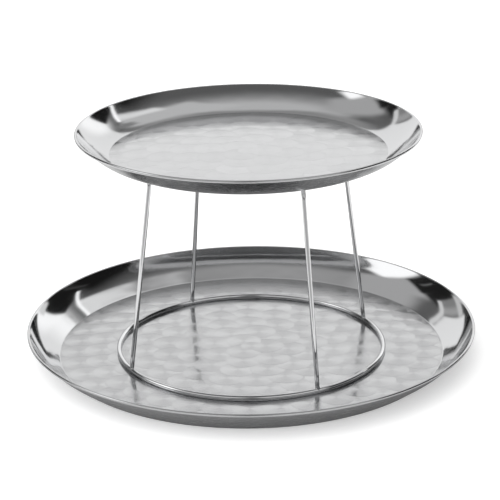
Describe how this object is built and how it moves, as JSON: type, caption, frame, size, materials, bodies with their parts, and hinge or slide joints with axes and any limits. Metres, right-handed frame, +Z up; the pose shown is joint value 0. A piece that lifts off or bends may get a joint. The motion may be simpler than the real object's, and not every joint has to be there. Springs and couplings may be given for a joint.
{
  "type": "two-tier serving stand",
  "caption": "Round wire riser standing in a wide shallow steel tray and carrying a smaller tray of the same form, for serving food on two levels.",
  "frame": {"origin": "centre of the lower tray's underside, on the surface the stand rests on", "axes": "+Z up along the common axis of both trays and the riser; -Y is the front; the four legs stand at 45 degrees to X and Y"},
  "size_m": [0.4063, 0.4064, 0.2083],
  "materials": {
    "tray_steel": "swirl-ground flat base, bright polished inner wall, satin outer wall",
    "wire_steel": "bright drawn wire",
    "weld_steel": "smooth polished weld"
  },
  "bodies": {
    "lower_tray": {"lower_tray": "tray_steel"},
    "stand": {"bottom_ring": "wire_steel", "top_ring": "wire_steel", "front_left_leg": "wire_steel", "front_right_leg": "wire_steel", "back_left_leg": "wire_steel", "back_right_leg": "wire_steel", "foot_welds": "weld_steel", "top_welds": "weld_steel"},
    "upper_tray": {"upper_tray": "tray_steel"}
  },
  "joints": [
    {"name": "stand_lift", "type": "slide", "parent": "lower_tray", "child": "stand", "axis": [0, 0, 1], "range_m": [0, 0.08]},
    {"name": "upper_tray_lift", "type": "slide", "parent": "stand", "child": "upper_tray", "axis": [0, 0, 1], "range_m": [0, 0.08]}
  ]
}
